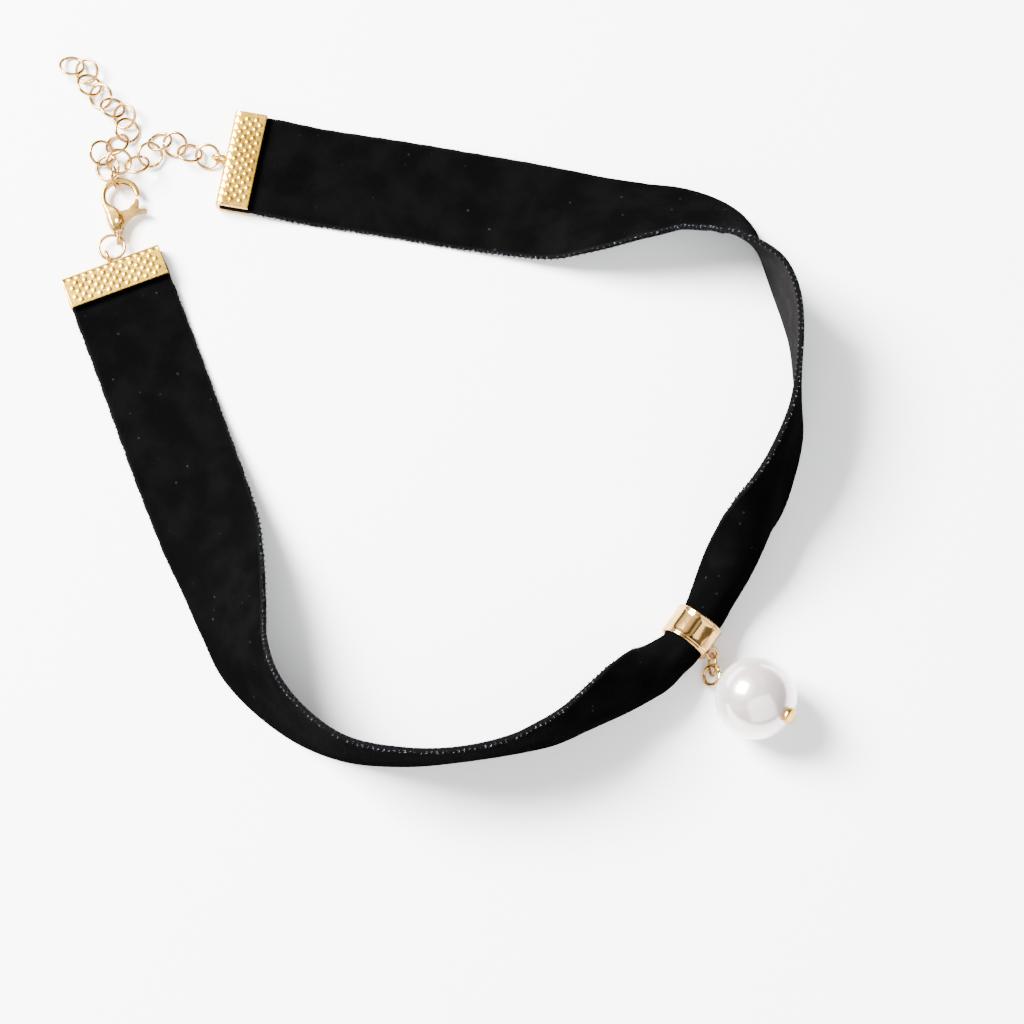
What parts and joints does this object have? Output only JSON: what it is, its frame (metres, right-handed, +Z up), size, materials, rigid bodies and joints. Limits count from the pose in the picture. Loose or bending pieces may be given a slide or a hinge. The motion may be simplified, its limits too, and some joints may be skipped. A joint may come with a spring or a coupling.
{
  "type": "choker necklace",
  "caption": "Fastened velvet ribbon choker with folded gold crimp ends, an extender chain, a lobster clasp and a pearl drop hung from a gathering tube",
  "frame": {"origin": "centre of the bounding box in plan, on the surface that the choker lies on", "axes": "+Z up from that surface; +Y from the gathered front towards the clasp's end of the loop; +X towards the side where the pearl drop lies"},
  "size_m": [0.1222, 0.1208, 0.0166],
  "materials": {
    "black_velvet": "short dense pile",
    "pale_gold": "polished pale gold plating",
    "pearl_lustre": "smooth pearl lustre"
  },
  "bodies": {
    "necklace": {"velvet_ribbon": "black_velvet", "right_crimp_end": "pale_gold", "left_crimp_end": "pale_gold", "gathering_tube": "pale_gold", "drop_jump_ring": "pale_gold", "head_pin": "pale_gold", "pearl": "pearl_lustre", "clasp_body": "pale_gold", "clasp_jump_ring": "pale_gold", "chain_jump_ring": "pale_gold", "extender_link_01": "pale_gold", "extender_link_02": "pale_gold", "extender_link_03": "pale_gold", "extender_link_04": "pale_gold", "extender_link_05": "pale_gold", "extender_link_06": "pale_gold", "extender_link_07": "pale_gold", "extender_link_08": "pale_gold", "extender_link_09": "pale_gold", "extender_link_10": "pale_gold", "extender_link_11": "pale_gold", "extender_link_12": "pale_gold", "extender_link_13": "pale_gold", "extender_link_14": "pale_gold", "extender_link_15": "pale_gold", "extender_link_16": "pale_gold", "extender_link_17": "pale_gold"},
    "lever": {"clasp_lever": "pale_gold"}
  },
  "joints": [
    {"name": "lever_pivot", "type": "hinge", "parent": "necklace", "child": "lever", "pos_m": [-0.05009, 0.03053, 0.0015], "axis": [0, 0, 1], "range_deg": [0, 25], "stiffness_Nm_per_rad": 0.002, "springref_deg": -11.46}
  ]
}
